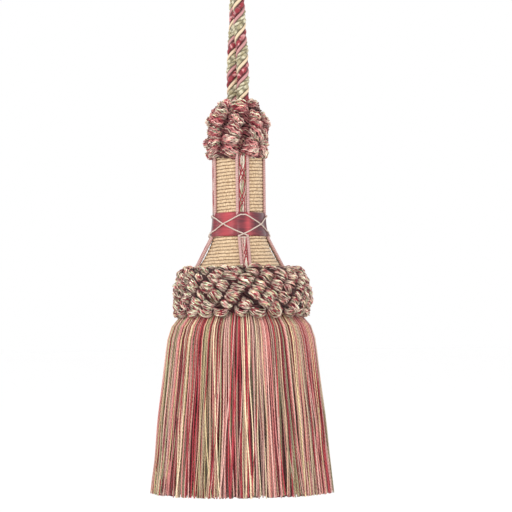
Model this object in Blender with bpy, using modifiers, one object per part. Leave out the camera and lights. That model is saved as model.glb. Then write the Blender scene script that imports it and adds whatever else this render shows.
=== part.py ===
"""A hanging key tassel, as a trimmings maker builds it.

A head wrapped in gimp carries a looped ruff above, a satin band at its waist, four laid strips down its sides,
a collar of wound cord at its foot and a skirt of cut yarn. A twisted cord loop hangs it.

Metres, +Z up. The origin is the hanging point, at the underside of the loop's bight. The front looks along -Y.
"""

import math

import bmesh
import bpy
import numpy as np
from mathutils import Vector

MM = 0.001
GAP = 0.3 * MM  # left between pieces that touch

# Heights along the tassel
HEAD_TOP = -94.8 * MM
BAND_TOP = -117.6 * MM
BAND_BOTTOM = -127.4 * MM

# Hanging cord
CORD_DIAMETER = 5.4 * MM
CORD_LEAD = 12.6 * MM
CORD_VALLEY = 0.80  # the depth between its strands, as a share of its radius
CORD_STRANDS = 4
CORD_STEP = 2.1 * MM
# One leg, from its end in the ruff to the middle of the bight: how far it stands from the axis, its height,
# and the direction it stands in, turned from +X towards the front. The other leg is opposite.
CORD_LEG = (
    # (offset mm, height mm, direction degrees)
    (2.85, -81.6, 45),
    (2.85, -70.0, 45),
    (2.85, -62.5, 42),
    (2.85, -55.9, 45),
    (2.86, -49.3, 54),
    (3.05, -42.7, 68),
    (3.95, -36.0, 77),
    (5.80, -29.4, 84),
    (8.20, -22.0, 87),
    (10.1, -15.0, 88),
    (10.8, -8.1, 88),
    (9.35, -2.7, 88),
    (5.40, 1.25, 88),
    (0.00, 2.70, 88),
)

# Wrapped head
TUBE_RADIUS = 9.5 * MM
WRAP_PITCH = 1.4 * MM
WRAP_DEPTH = 0.35 * MM
FLARE_START = -119.0 * MM
FOOT_RADIUS = 22.3 * MM
FOOT_TOP = -146.0 * MM
FOOT_BOTTOM = -148.2 * MM
BASE_RADIUS = 18.4 * MM
BASE_BOTTOM = -157.4 * MM
FLARE_POWER = 2.1
SPIGOT_RADIUS = 5.6 * MM
SPIGOT_TOP = -81.9 * MM
HEAD_STEPS = 18

# Laid strips, four round the head, each of two edge cords and a twisted yarn between them
STRIP_COUNT = 4
STRIP_TURN = math.radians(8.6)  # the front strip stands this far to the right
EDGE_CORD = 1.2 * MM
YARN_WIDTH = 2.3 * MM
YARN_THICK = 1.1 * MM
UPPER_SPREAD = 2.1 * MM  # from the strip's middle to the middle of each edge cord
LOWER_SPREAD = 1.95 * MM
LOWER_TOP_RADIUS = 11.65 * MM
LOWER_END_RADIUS = 17.75 * MM
LOWER_END = -139.4 * MM

# Satin band and the threads laced over it
BAND_THICK = 1.0 * MM
BAND_RIDGE = 0.4 * MM  # where it passes over a strip
RIDGE_REACH = math.radians(13)  # to each side of the strip's middle
BAND_STEPS = 40
LACE_DIAMETER = 0.5 * MM
LACE_MARGIN = 0.8 * MM
LACE_POINTS = 48
LACE_HOP = 0.3  # the share of the band's height over which a thread rises to cross the other

# Ruffs
RUFF_PUFFS = 12
RUFF_ROWS = 6
RUFF_RELIEF = 1.1 * MM
COLLAR_COLUMNS = 28
COLLAR_LOOPS = 9  # down each column
COLLAR_LEAN = math.radians(34)  # how far a column turns to the left from its top to its foot
COLLAR_DEPTH = 2.0 * MM  # of the hollow between two columns
COLLAR_PINCH = 0.9 * MM  # between two loops of a column
COLLAR_UNEVEN = 0.2
LIP = 1 / 6  # the share of each outline, at either end, over which its loops flatten
COLLAR_SEAT = -143.0 * MM  # where the collar rests on the flare
# Each ruff's outline over its loops, from the inner lip outwards and down to the lower lip
TOP_RUFF_OUTLINE = (
    # (radius mm, height mm)
    (6.1, -72.2),
    (7.4, -70.5),
    (9.2, -71.3),
    (10.8, -73.4),
    (12.0, -76.6),
    (12.9, -80.4),
    (13.4, -84.6),
    (13.3, -88.4),
    (12.8, -91.6),
    (11.7, -93.8),
    (10.0, -94.5),
)
COLLAR_OUTLINE = (
    # (radius mm, height mm)
    (18.5, -140.4),
    (19.6, -139.1),
    (21.7, -138.7),
    (23.8, -139.5),
    (25.6, -141.1),
    (27.3, -143.6),
    (28.3, -146.6),
    (28.8, -150.0),
    (28.8, -153.4),
    (28.5, -156.6),
    (27.9, -159.4),
    (27.1, -161.1),
)

# Skirt
HEADING_INNER = 18.7 * MM
HEADING_OUTER = 24.8 * MM
HEADING_TOP = -148.5 * MM
HEADING_BOTTOM = -157.2 * MM
HEADING_STEPS = 36
STRAND_SIDES = 3
# The outer strands' middle line, with how wide a strand is there
STRAND_LINE = (
    # (radius mm, height mm, width mm)
    (23.5, -156.4, 1.0),
    (28.9, -166.5, 1.4),
    (31.9, -184.0, 1.5),
    (36.9, -231.0, 1.8),
)
STRAND_ROWS = (
    # (strands, how far inside the outer line at the root and at the hem mm, width as a share of the outer
    # strands', turned by this share of the space between two)
    (92, 0.0, 0.0, 1.0, 0.0),
    (92, 2.6, 2.6, 0.8, 0.5),
    (60, 4.0, 12.0, 0.9, 0.25),
)
HEM_UNEVEN = 1.2 * MM
SWAY = 0.06  # a strand's hem strays this share of the space between strands


def clear_scene():
    for obj in list(bpy.data.objects):
        bpy.data.objects.remove(obj, do_unlink=True)


def new_collection(name, parent=None):
    collection = bpy.data.collections.new(name)
    (parent or bpy.context.scene.collection).children.link(collection)
    return collection


def material(name, colour, roughness):
    made = bpy.data.materials.new(name)
    made.use_nodes = True
    shader = made.node_tree.nodes["Principled BSDF"]
    shader.inputs["Base Color"].default_value = (*colour, 1.0)
    shader.inputs["Roughness"].default_value = roughness
    shader.inputs["Metallic"].default_value = 0.0
    return made


def add_object(name, data, collection, finish=None):
    obj = bpy.data.objects.new(name, data)
    collection.objects.link(obj)
    if finish:
        data.materials.append(finish)
    return obj


def baked_mesh(obj):
    """The object's evaluated shape as a mesh of its own, in world space, with a curve's caps welded."""
    bpy.context.view_layer.update()
    graph = bpy.context.evaluated_depsgraph_get()
    mesh = bpy.data.meshes.new_from_object(obj.evaluated_get(graph))
    mesh.transform(obj.matrix_world)
    shape = bmesh.new()
    shape.from_mesh(mesh)
    bmesh.ops.remove_doubles(shape, verts=shape.verts, dist=0.001 * MM)
    bmesh.ops.recalc_face_normals(shape, faces=shape.faces)
    shape.to_mesh(mesh)
    shape.free()
    return mesh


def turned_mesh(profile, steps, closed):
    """A profile of (radius, height) points at +X, spun about Z. It runs down its outer side."""
    points = [(radius, 0.0, height) for radius, height in profile]
    edges = [(i, i + 1) for i in range(len(points) - 1)]
    if closed:
        edges.append((len(points) - 1, 0))
    mesh = bpy.data.meshes.new("profile")
    mesh.from_pydata(points, edges, [])
    obj = add_object("profile", mesh, bpy.context.scene.collection)
    spin = obj.modifiers.new("spin", "SCREW")
    spin.axis = "Z"
    spin.angle = math.tau
    spin.steps = steps
    spin.render_steps = steps
    spin.use_merge_vertices = True
    spin.merge_threshold = 0.01 * MM
    baked = baked_mesh(obj)
    bpy.data.objects.remove(obj)
    return baked


def smooth(mesh, angle=60):
    mesh.shade_smooth()
    mesh.set_sharp_from_angle(angle=math.radians(angle))


def spread_evenly(points, count):
    """The points of a smooth line through the given ones, count of them, evenly spaced along it."""
    line = np.array(points, float)
    ends = np.vstack([2 * line[0] - line[1], line, 2 * line[-1] - line[-2]])
    fine = []
    for before, here, after, beyond in zip(ends, ends[1:], ends[2:], ends[3:]):
        for t in np.linspace(0, 1, 12, endpoint=False):
            fine.append(
                0.5
                * (
                    2 * here
                    + (after - before) * t
                    + (2 * before - 5 * here + 4 * after - beyond) * t**2
                    + (3 * here - before - 3 * after + beyond) * t**3
                )
            )
    fine = np.array([*fine, line[-1]])
    along = np.concatenate([[0], np.cumsum(np.linalg.norm(np.diff(fine, axis=0), axis=1))])
    at = np.linspace(0, along[-1], count)
    return np.stack([np.interp(at, along, fine[:, k]) for k in range(line.shape[1])], axis=1), along[-1]


def tube(name, points, collection, finish, depth=None, section=None, sides=6, closed=False, twist=0.0):
    """A curve object along the points. It is round with a depth, or takes a section, turned twist radians a point."""
    data = bpy.data.curves.new(name, "CURVE")
    data.dimensions = "3D"
    data.resolution_u = 1
    data.use_fill_caps = not closed
    if section:
        data.bevel_mode = "OBJECT"
        data.bevel_object = section
    else:
        data.bevel_depth = depth
        data.bevel_resolution = sides // 2 - 2
    spline = data.splines.new("POLY")
    spline.points.add(len(points) - 1)
    for i, point in enumerate(points):
        spline.points[i].co = (*point, 1.0)
        spline.points[i].tilt = twist * i
    spline.use_cyclic_u = closed
    return add_object(name, data, collection, finish)


def section_curve(name, points, collection):
    """A closed flat outline that a curve takes as its section."""
    data = bpy.data.curves.new(name, "CURVE")
    data.dimensions = "2D"
    spline = data.splines.new("POLY")
    spline.points.add(len(points) - 1)
    for i, (x, y) in enumerate(points):
        spline.points[i].co = (x, y, 0.0, 1.0)
    spline.use_cyclic_u = True
    obj = add_object(name, data, collection)
    obj.hide_render = True
    obj.display_type = "WIRE"
    return obj


def polar(radius, angle, height, aside=0.0):
    """A point at a radius and angle, shifted aside along the circle. Angle 0 is the front, positive to the right."""
    outward = Vector((math.sin(angle), -math.cos(angle), 0.0))
    across = Vector((math.cos(angle), math.sin(angle), 0.0))
    return outward * radius + across * aside + Vector((0.0, 0.0, height))


def strip_angles():
    return [STRIP_TURN + i * math.tau / STRIP_COUNT for i in range(STRIP_COUNT)]


# Hanging cord


def cord_route():
    leg = []
    for offset, height, direction in CORD_LEG:
        angle = math.radians(direction)
        leg.append((offset * math.cos(angle) * MM, -offset * math.sin(angle) * MM, height * MM))
    other = [(-x, -y, z) for x, y, z in reversed(leg[:-1])]
    return leg + other


def hanging_cord(collection, helpers, finish):
    count = 2 * CORD_STRANDS
    outline = []
    for i in range(count):
        radius = CORD_DIAMETER / 2 * (1.0 if i % 2 == 0 else CORD_VALLEY)
        angle = -math.tau * i / count
        outline.append((radius * math.cos(angle), radius * math.sin(angle)))
    section = section_curve("cord_section", outline, helpers)
    _, length = spread_evenly(cord_route(), 2)
    points, _ = spread_evenly(cord_route(), round(length / CORD_STEP) + 1)
    step = length / (len(points) - 1)
    return tube("hanging_cord", points, collection, finish, section=section, twist=math.tau * step / CORD_LEAD)


# Wrapped head


def flare_radius(height):
    """The head's radius over its wraps: a tube, then a flare down to the foot."""
    t = max(0.0, (FLARE_START - height) / (FLARE_START - FOOT_TOP))
    return TUBE_RADIUS + (FOOT_RADIUS - TUBE_RADIUS) * t**FLARE_POWER


def wraps(top, bottom):
    """Valley and crest points of the gimp wraps between two heights, an even pitch along the surface."""
    heights = np.linspace(top, bottom, 200)
    radii = np.array([flare_radius(z) for z in heights])
    along = np.concatenate([[0], np.cumsum(np.hypot(np.diff(heights), np.diff(radii)))])
    count = round(along[-1] / WRAP_PITCH)
    points = []
    for i in range(2 * count + 1):
        height = float(np.interp(along[-1] * i / (2 * count), along, heights))
        points.append((flare_radius(height) - (WRAP_DEPTH if i % 2 == 0 else 0.0), height))
    return points


def wrapped_head(collection, finish):
    under_band = [(flare_radius(z) - WRAP_DEPTH, z) for z in np.linspace(BAND_TOP, BAND_BOTTOM, 4)[1:-1]]
    profile = [
        (0.0, SPIGOT_TOP),
        (SPIGOT_RADIUS, SPIGOT_TOP),
        (SPIGOT_RADIUS, HEAD_TOP),
        *wraps(HEAD_TOP, BAND_TOP),
        *under_band,
        *wraps(BAND_BOTTOM, FOOT_TOP),
        (FOOT_RADIUS, FOOT_BOTTOM),
        (BASE_RADIUS, FOOT_BOTTOM),
        (BASE_RADIUS, BASE_BOTTOM),
        (0.0, BASE_BOTTOM),
    ]
    mesh = turned_mesh(profile, HEAD_STEPS, closed=False)
    smooth(mesh)
    return add_object("wrapped_head", mesh, collection, finish)


# Waist band


def plain_band_radius(height):
    return flare_radius(height) - WRAP_DEPTH + GAP + BAND_THICK


def band_radius(angle, height):
    """The outside of the band, lifted a little where it passes over each strip."""
    ridge = 0.0
    for strip_angle in strip_angles():
        away = abs((angle - strip_angle + math.pi) % math.tau - math.pi)
        if away < RIDGE_REACH:
            ridge = BAND_RIDGE * 0.5 * (1 + math.cos(math.pi * away / RIDGE_REACH))
    return plain_band_radius(height) + ridge


def waist_band(collection, finish):
    outer = [(plain_band_radius(z), z) for z in np.linspace(BAND_TOP, BAND_BOTTOM, 3)]
    inner = [(radius - BAND_THICK, z) for radius, z in reversed(outer)]
    mesh = turned_mesh(outer + inner, BAND_STEPS, closed=True)
    for vertex in mesh.vertices:
        radius = math.hypot(vertex.co.x, vertex.co.y)
        angle = math.atan2(vertex.co.x, -vertex.co.y)
        lift = band_radius(angle, vertex.co.z) - plain_band_radius(vertex.co.z)
        vertex.co.x *= (radius + lift) / radius
        vertex.co.y *= (radius + lift) / radius
    smooth(mesh)
    return add_object("waist_band", mesh, collection, finish)


def lacing(name, collection, finish, start, over):
    """One thread zigzagging round the band, turning at every strip. The upper thread rises where the two cross."""
    points = []
    top, bottom = BAND_TOP - LACE_MARGIN, BAND_BOTTOM + LACE_MARGIN
    for i in range(LACE_POINTS):
        turn = STRIP_COUNT * i / LACE_POINTS + start
        share = abs(turn % 2 - 1)
        height = bottom + (top - bottom) * share
        angle = STRIP_TURN + math.tau * i / LACE_POINTS
        hop = max(0.0, 1 - abs(share - 0.5) / LACE_HOP) if over else 0.0
        radius = band_radius(angle, height) + GAP + LACE_DIAMETER * 0.5 + hop * (LACE_DIAMETER + GAP)
        points.append(polar(radius, angle, height))
    return tube(name, points, collection, finish, depth=LACE_DIAMETER / 2, sides=4, closed=True)


# Laid strips


def strip(number, angle, level, collection, finishes):
    """Two edge cords and the twisted yarn between them, above the band or below it."""
    if level == "upper":
        spread = UPPER_SPREAD
        radius = TUBE_RADIUS + GAP + EDGE_CORD / 2
        ends = ((radius, HEAD_TOP - GAP), (radius, BAND_TOP + GAP))
    else:
        spread = LOWER_SPREAD
        ends = ((LOWER_TOP_RADIUS, BAND_BOTTOM - GAP), (LOWER_END_RADIUS, LOWER_END))
    for side, mark in ((-1, "a"), (1, "b")):
        line = [polar(radius, angle, height, side * spread) for radius, height in ends]
        tube(f"edge_cord_{number}{mark}_{level}", line, collection, finishes["edge"], depth=EDGE_CORD / 2)
    width = YARN_WIDTH if level == "upper" else YARN_WIDTH - 2 * (UPPER_SPREAD - LOWER_SPREAD)
    flat = []
    for across, out in ((-1, 0), (-0.5, 1), (0, 0.6), (0.5, 1), (1, 0), (0.5, -1), (0, -0.6), (-0.5, -1)):
        flat.append((across * width / 2, out * YARN_THICK / 2))
    high, low = (polar(radius, angle, height) for radius, height in ends)
    run = low - high
    across = polar(0.0, angle, 0.0, 1.0)
    out = across.cross(run).normalized()
    shape = bmesh.new()
    cut = shape.faces.new([shape.verts.new(high + across * x + out * y) for x, y in flat])
    made = bmesh.ops.extrude_face_region(shape, geom=[cut], use_keep_orig=True)
    moved = [item for item in made["geom"] if isinstance(item, bmesh.types.BMVert)]
    bmesh.ops.translate(shape, verts=moved, vec=run)
    bmesh.ops.recalc_face_normals(shape, faces=shape.faces)
    mesh = bpy.data.meshes.new(f"twist_yarn_{number}_{level}")
    shape.to_mesh(mesh)
    shape.free()
    add_object(mesh.name, mesh, collection, finishes["twist"])


# Ruffs


def turn_about_axis(point, angle):
    x, y = point.x, point.y
    point.x = x * math.cos(angle) - y * math.sin(angle)
    point.y = x * math.sin(angle) + y * math.cos(angle)


def ruff(name, outline, count, inner, steps, relief, lean, collection, finish):
    """A ring turned from an outline over its loops and a plain inner wall, then sunk between the loops by relief.

    The ring is turned to the left by lean from the top of its outline to the foot, and back along the inner wall.
    Each four-cornered face is folded between its two deeper corners, so that the loops stand up apart.
    """
    points, _ = spread_evenly([(r * MM, z * MM) for r, z in outline], count)
    slope = np.gradient(points, axis=0)
    normals = np.stack([-slope[:, 1], slope[:, 0]], axis=1)
    normals /= np.linalg.norm(normals, axis=1)[:, None]
    mesh = turned_mesh([*map(tuple, points), *inner], steps, closed=True)
    section = np.vstack([points, inner])
    shape = bmesh.new()
    shape.from_mesh(mesh)
    depths = {}
    for vertex in shape.verts:
        radius = math.hypot(vertex.co.x, vertex.co.y)
        nearest = int(np.hypot(section[:, 0] - radius, section[:, 1] - vertex.co.z).argmin())
        if nearest >= count:
            back = (nearest - count + 1) / (len(inner) + 1)
            turn_about_axis(vertex.co, lean * (back - 0.5))
            continue
        share = nearest / (count - 1)
        edge = min(1.0, share / LIP, (1 - share) / LIP)
        depth = relief(math.atan2(vertex.co.x, -vertex.co.y), share) * edge
        depths[vertex] = depth
        out, up = normals[nearest] * depth
        vertex.co.x *= (radius - out) / radius
        vertex.co.y *= (radius - out) / radius
        vertex.co.z -= up
        turn_about_axis(vertex.co, lean * (0.5 - share))
    for face in [face for face in shape.faces if all(corner in depths for corner in face.verts)]:
        one, two, three, four = face.verts
        if depths[one] + depths[three] > depths[two] + depths[four]:
            bmesh.utils.face_split(face, one, three)
        else:
            bmesh.utils.face_split(face, two, four)
    shape.to_mesh(mesh)
    shape.free()
    smooth(mesh, 80)
    return add_object(name, mesh, collection, finish)


def puff_relief(angle, share):
    """How deep the top ruff lies under its outline: puffs in staggered rows, a little uneven."""
    row = RUFF_ROWS * share
    drift = 0.4 * math.sin(2 * angle + 1.7 * row) + 0.3 * math.sin(3 * angle - row)
    wave = math.cos(RUFF_PUFFS * angle + drift) * math.cos(math.pi * row + 0.3 * math.sin(3 * angle))
    return RUFF_RELIEF * (1 - wave)


def loop_relief(angle, share):
    """How deep the collar lies under its outline: a hollow beside each column, which is pinched between loops."""
    place = round(3 * COLLAR_COLUMNS * angle / math.tau) % (3 * COLLAR_COLUMNS)
    row = round(2 * COLLAR_LOOPS * share)
    uneven = COLLAR_UNEVEN * abs(np.random.default_rng(100 * place + row).uniform(-1, 1))
    if place % 3 == 0:
        return COLLAR_DEPTH * (1 - uneven)
    pinch = 1 - row % 2
    return COLLAR_PINCH * max(pinch * (1 - uneven), uneven)


def ruffs(collection, finish):
    top_inner = [(SPIGOT_RADIUS + GAP + 0.2 * MM, HEAD_TOP + GAP)]
    points = 2 * RUFF_ROWS + 1
    steps = 4 * RUFF_PUFFS
    ruff("top_ruff", TOP_RUFF_OUTLINE, points, top_inner, steps, puff_relief, 0.0, collection, finish)
    collar_inner = [
        (HEADING_OUTER + 1.5 * MM, HEADING_BOTTOM - 2.8 * MM),
        (HEADING_OUTER + GAP, HEADING_BOTTOM),
        (HEADING_OUTER + GAP, FOOT_TOP - 0.5 * MM),
        (flare_radius(COLLAR_SEAT) + 2 * GAP, COLLAR_SEAT),
    ]
    points = 2 * COLLAR_LOOPS + 1
    steps = 3 * COLLAR_COLUMNS
    ruff("collar_ruff", COLLAR_OUTLINE, points, collar_inner, steps, loop_relief, COLLAR_LEAN, collection, finish)


# Skirt


def strand_lines():
    """The middle line and widths of every strand, from its root in the heading to the hem."""
    chance = np.random.default_rng(7)
    lines = []
    for strands, root_inset, hem_inset, slim, turned in STRAND_ROWS:
        space = math.tau / strands
        for i in range(strands):
            angle = space * (i + turned)
            sway = SWAY * space * chance.uniform(-1, 1)
            short = HEM_UNEVEN * chance.uniform(0, 1)
            line = []
            for place, (radius, height, width) in enumerate(STRAND_LINE):
                share = place / (len(STRAND_LINE) - 1)
                lift = short if place == len(STRAND_LINE) - 1 else 0.0
                inset = root_inset + (hem_inset - root_inset) * share
                point = polar((radius - inset) * MM, angle + sway * share, height * MM + lift)
                line.append((point, width * slim * MM, angle))
            lines.append(line)
    return lines


def skirt(collection, helpers, finish):
    """All strands are one mesh of separate prisms, which the heading ring takes in at their roots."""
    shape = bmesh.new()
    for line in strand_lines():
        rings = []
        for point, width, angle in line:
            ring = []
            for corner in range(STRAND_SIDES):
                around = math.pi / 2 + math.tau * corner / STRAND_SIDES
                radius = width / math.sqrt(3)
                across = polar(0.0, angle, 0.0, radius * math.cos(around))
                inward = polar(-radius * math.sin(around), angle, 0.0)
                ring.append(shape.verts.new(point + across + inward))
            rings.append(ring)
        for upper, lower in zip(rings, rings[1:]):
            for corner in range(STRAND_SIDES):
                after = (corner + 1) % STRAND_SIDES
                shape.faces.new((upper[corner], upper[after], lower[after], lower[corner]))
        shape.faces.new(rings[0])
        shape.faces.new(rings[-1])
    bmesh.ops.recalc_face_normals(shape, faces=shape.faces)
    strands_mesh = bpy.data.meshes.new("strands")
    shape.to_mesh(strands_mesh)
    shape.free()
    strands = add_object("strands", strands_mesh, helpers)
    strands.hide_render = True
    strands.display_type = "WIRE"

    ring = [
        (HEADING_OUTER, HEADING_TOP),
        (HEADING_OUTER, HEADING_BOTTOM),
        (HEADING_INNER, HEADING_BOTTOM),
        (HEADING_INNER, HEADING_TOP),
    ]
    heading = add_object("skirt", turned_mesh(ring, HEADING_STEPS, closed=True), collection, finish)
    join = heading.modifiers.new("roots", "BOOLEAN")
    join.operation = "UNION"
    join.object = strands
    join.solver = "EXACT"
    return heading


def main():
    clear_scene()
    parts = new_collection("key_tassel")
    helpers = new_collection("helpers")
    finishes = {
        "cord": material("twisted_cord", (0.62, 0.44, 0.33), 0.7),
        "ruff": material("ruff_yarn", (0.55, 0.34, 0.28), 0.85),
        "gimp": material("gold_gimp", (0.76, 0.56, 0.30), 0.5),
        "satin": material("red_satin", (0.52, 0.08, 0.10), 0.35),
        "edge": material("pink_gimp", (0.72, 0.42, 0.38), 0.55),
        "twist": material("twist_yarn", (0.52, 0.42, 0.32), 0.7),
        "thread": material("pale_thread", (0.66, 0.62, 0.50), 0.6),
        "skirt": material("skirt_yarn", (0.58, 0.34, 0.26), 0.75),
    }
    hanging_cord(parts, helpers, finishes["cord"])
    wrapped_head(parts, finishes["gimp"])
    waist_band(parts, finishes["satin"])
    lacing("lacing_under", parts, finishes["thread"], start=0.0, over=False)
    lacing("lacing_over", parts, finishes["thread"], start=1.0, over=True)
    for number, angle in enumerate(strip_angles(), start=1):
        for level in ("upper", "lower"):
            strip(number, angle, level, parts, finishes)
    ruffs(parts, finishes["ruff"])
    skirt(parts, helpers, finishes["skirt"])


main()
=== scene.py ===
"""The key tassel dressed: its yarns, cords, gimp and satin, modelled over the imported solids.

Metres, +Z up. The hanging point is the origin and the front looks along -Y. Angles round the tassel start at
the front and grow to the right.
"""

import math

import bpy
import numpy as np
from mathutils import Matrix, Vector


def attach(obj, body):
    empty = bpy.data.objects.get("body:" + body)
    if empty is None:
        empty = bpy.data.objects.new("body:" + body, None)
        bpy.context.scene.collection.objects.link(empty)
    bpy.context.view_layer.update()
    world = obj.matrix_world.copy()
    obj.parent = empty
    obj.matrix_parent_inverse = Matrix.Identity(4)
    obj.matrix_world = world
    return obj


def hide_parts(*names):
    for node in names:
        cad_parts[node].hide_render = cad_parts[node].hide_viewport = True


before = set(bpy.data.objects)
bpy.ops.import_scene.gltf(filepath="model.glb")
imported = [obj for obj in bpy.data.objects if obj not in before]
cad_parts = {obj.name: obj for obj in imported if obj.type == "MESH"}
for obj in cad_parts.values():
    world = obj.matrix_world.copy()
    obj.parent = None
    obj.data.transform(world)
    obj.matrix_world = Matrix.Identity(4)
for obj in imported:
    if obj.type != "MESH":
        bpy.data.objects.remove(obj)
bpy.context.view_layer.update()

MM = 0.001
CHANCE = np.random.default_rng(11)

# Heights shared with the solids
HEAD_TOP = -94.8 * MM
BAND_TOP = -117.6 * MM
BAND_BOTTOM = -127.4 * MM

# The four strips
STRIP_TURN = math.radians(8.6)
STRIP_COUNT = 4


# Small tools for lines and meshes


def around(radius, angle, height, aside=0.0):
    """Points at a radius and angle, shifted aside along the circle."""
    radius, angle, height, aside = np.broadcast_arrays(radius, angle, height, aside)
    x = radius * np.sin(angle) + aside * np.cos(angle)
    y = -radius * np.cos(angle) + aside * np.sin(angle)
    return np.stack([x, y, height], axis=-1)


def spread_evenly(points, count):
    """The points of a smooth line through the given ones, count of them, evenly spaced along it, and its length."""
    line = np.array(points, float)
    ends = np.vstack([2 * line[0] - line[1], line, 2 * line[-1] - line[-2]])
    fine = []
    for before, here, after, beyond in zip(ends, ends[1:], ends[2:], ends[3:]):
        t = np.linspace(0, 1, 12, endpoint=False)[:, None]
        fine.append(
            0.5
            * (
                2 * here
                + (after - before) * t
                + (2 * before - 5 * here + 4 * after - beyond) * t**2
                + (3 * here - before - 3 * after + beyond) * t**3
            )
        )
    fine = np.vstack([*fine, line[-1:]])
    along = np.concatenate([[0], np.cumsum(np.linalg.norm(np.diff(fine, axis=0), axis=1))])
    at = np.linspace(0, along[-1], count)
    return np.stack([np.interp(at, along, fine[:, k]) for k in range(line.shape[1])], axis=1), along[-1]


def unit(vectors):
    return vectors / np.linalg.norm(vectors, axis=-1, keepdims=True)


def guides(lines):
    """Directions across each of several lines, carried along them without twisting, and the lengths so far."""
    steps = np.linalg.norm(np.diff(lines, axis=1), axis=2)
    lengths = np.concatenate([np.zeros((len(lines), 1)), np.cumsum(steps, axis=1)], axis=1)
    along = unit(np.gradient(lines, axis=1))
    across = np.zeros_like(along)
    across[:, 0] = unit(np.cross(along[:, 0], (0.31, 0.47, 0.83)))
    for i in range(1, lines.shape[1]):
        carried = across[:, i - 1]
        carried = carried - (carried * along[:, i]).sum(1, keepdims=True) * along[:, i]
        across[:, i] = unit(carried)
    return across, np.cross(along, across), lengths


def rounded(lengths, radius):
    """How a yarn of that radius narrows to a rounded tip at either end, as a share of the radius."""
    to_tip = np.minimum(lengths, lengths[:, -1:] - lengths)
    near = np.clip(to_tip / radius, 0.02, 1)
    return np.sqrt(1 - (1 - near) ** 2)


def keep_values(mesh, name, values):
    kept = mesh.attributes.new(name, "FLOAT", "POINT")
    kept.data.foreach_set("value", np.asarray(values, np.float32).ravel())


def closed_mesh(name, points, faces, uv):
    mesh = bpy.data.meshes.new(name)
    mesh.from_pydata(points.tolist(), [], faces)
    layer = mesh.uv_layers.new(name="laid")
    layer.data.foreach_set("uv", np.asarray(uv, np.float32).ravel())
    mesh.shade_smooth()
    return mesh


def yarn_mesh(name, lines, radii, sides, turn=0.0, first=0.0, section=None, tints=0.0, depths=1.0):
    """Round yarns along several lines of equal point counts, in one mesh.

    radii is a number or one for each line and point. turn is how far the section turns in a metre, from first.
    section gives the radius's share for each angle round the yarn and length along it. The UV map runs round the yarn
    from 0 to 1 and along it in millimetres. tints is a number for each yarn, which picks its colour. The last argument
    is painted light, for each yarn or each of its points: a brightness painted into the colour, below 1 as painted
    shade where yarns lie deep and above 1 as painted highlight, with some tone of each yarn's own.
    """
    lines = np.asarray(lines, float)
    count, rings = lines.shape[:2]
    across, up, lengths = guides(lines)
    round_angle = np.arange(sides) * math.tau / sides
    share = np.ones((count, rings, sides)) if section is None else section(round_angle[None, None], lengths[..., None])
    reach = np.broadcast_to(np.asarray(radii, float), (count, rings))[..., None] * share
    angle = round_angle[None, None] + first + turn * lengths[..., None]
    offset = across[:, :, None] * np.cos(angle)[..., None] + up[:, :, None] * np.sin(angle)[..., None]
    points = (lines[:, :, None] + reach[..., None] * offset).reshape(-1, 3)

    index = np.arange(count * rings * sides).reshape(count, rings, sides)
    after = np.roll(index, -1, axis=2)
    quads = np.stack([index[:, :-1], after[:, :-1], after[:, 1:], index[:, 1:]], axis=-1).reshape(-1, 4)
    caps = [*index[:, 0, ::-1].tolist(), *index[:, -1].tolist()]

    u_here = np.broadcast_to(np.arange(sides) / sides, (count, rings, sides))
    u_after = u_here + 1 / sides
    v = np.broadcast_to(lengths[..., None] / MM, (count, rings, sides))
    corners = [
        np.stack([u_here[:, :-1], v[:, :-1]], axis=-1),
        np.stack([u_after[:, :-1], v[:, :-1]], axis=-1),
        np.stack([u_after[:, 1:], v[:, 1:]], axis=-1),
        np.stack([u_here[:, 1:], v[:, 1:]], axis=-1),
    ]
    uv = np.stack(corners, axis=3).reshape(-1, 2)
    start = np.stack([u_here[:, 0, ::-1], v[:, 0]], axis=-1).reshape(-1, 2)
    finish = np.stack([u_here[:, -1], v[:, -1]], axis=-1).reshape(-1, 2)
    uv = np.vstack([uv, start, finish])
    mesh = closed_mesh(name, points, quads.tolist() + caps, uv)
    shape = (count, rings, sides)
    keep_values(mesh, "tint", np.broadcast_to(np.reshape(tints, (-1, 1, 1)), shape))
    depths = np.asarray(depths, float)
    depths = depths[..., None] if depths.ndim == 2 else np.reshape(depths, (-1, 1, 1))
    # Painted light: the given brightness times the section's share, which paints shade into the grooves, kept as
    # "depth".
    keep_values(mesh, "depth", depths * share * np.ones(shape))
    return mesh


def grooved(count, depth):
    """A section with rounded plies and a groove between each two."""

    def section(angle, length):
        return 1 - depth * (1 - np.abs(np.sin(count * angle / 2 + 0 * length)))

    return section


def piece(name, mesh, finish, slot, *nodes):
    """Puts a mesh in the scene as a piece that rides on the tassel and stands for the named solids."""
    obj = bpy.data.objects.new(name, mesh)
    bpy.context.scene.collection.objects.link(obj)
    mesh.materials.clear()
    mesh.materials.append(finish)
    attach(obj, "root")
    if nodes:
        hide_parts(*nodes)
    return obj


# Finishes


def colour(red, green, blue):
    """A screen colour from 0 to 255 as the shader's own."""
    parts = [c / 255 for c in (red, green, blue)]
    return tuple(c / 12.92 if c <= 0.04045 else ((c + 0.055) / 1.055) ** 2.4 for c in parts) + (1.0,)


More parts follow.
